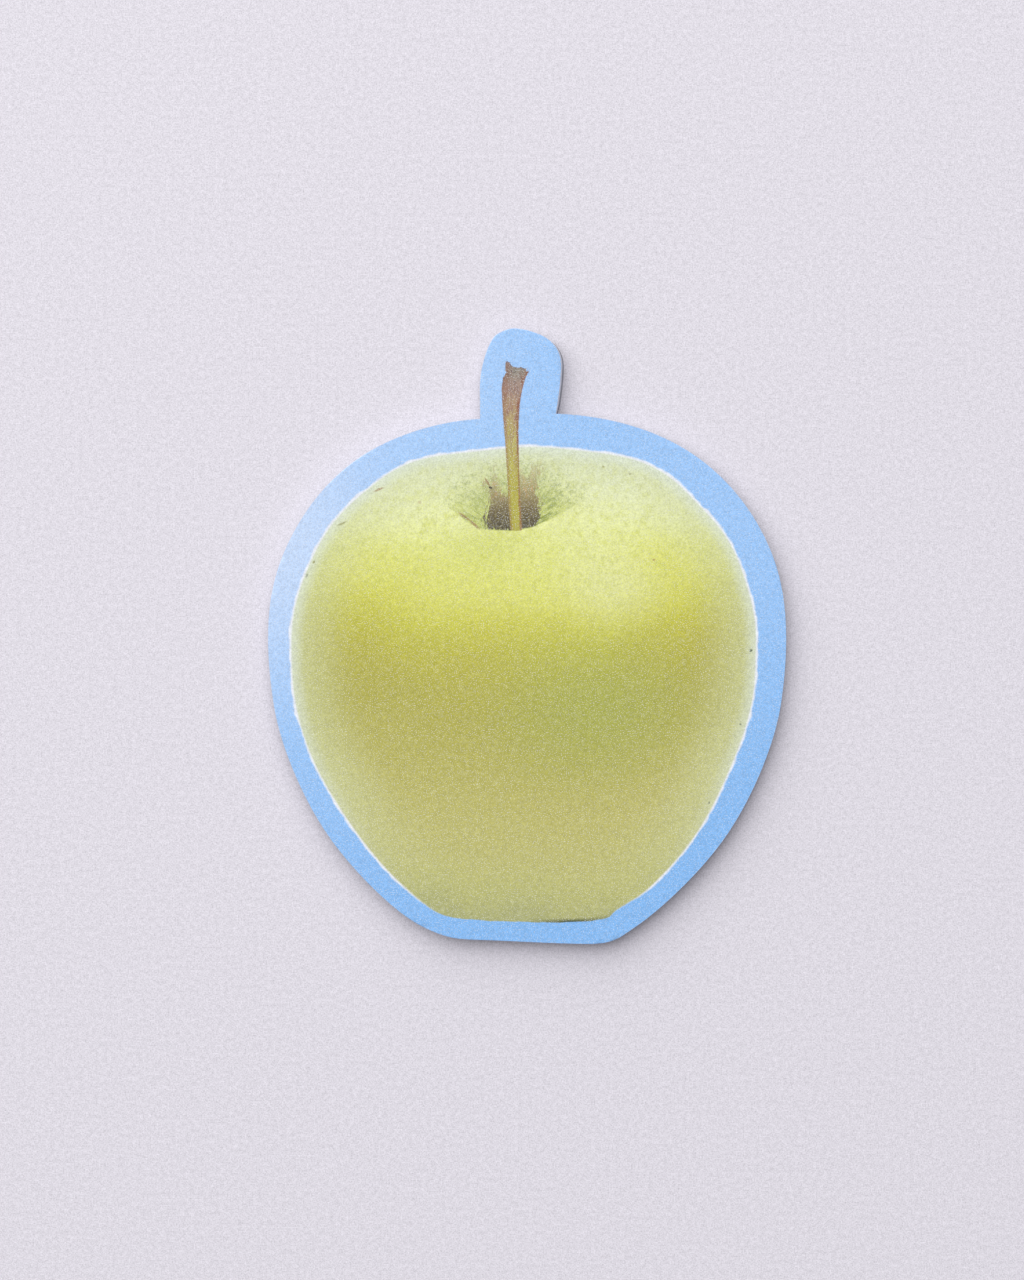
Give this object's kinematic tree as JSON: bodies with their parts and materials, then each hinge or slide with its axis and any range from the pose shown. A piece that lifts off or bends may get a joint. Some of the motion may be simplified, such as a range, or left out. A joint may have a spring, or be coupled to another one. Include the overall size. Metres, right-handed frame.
{
  "type": "die-cut picture card",
  "caption": "Flat die-cut card of thick white board in an apple's outline with a stem tab, printed with a green apple on light blue.",
  "frame": {"origin": "centre of the card's box on its bare back, which lies on the surface", "axes": "+Z out of the printed face, +Y from the apple's foot towards the stem tab, +X to the right as the picture is seen"},
  "size_m": [0.0894, 0.106, 0.0032],
  "materials": {
    "printed_board": "uncoated white pulp board, printed in matte ink with a green apple on a light blue ground; cut edge and back are bare white board"
  },
  "bodies": {
    "root": {"picture_card": "printed_board"}
  },
  "joints": []
}
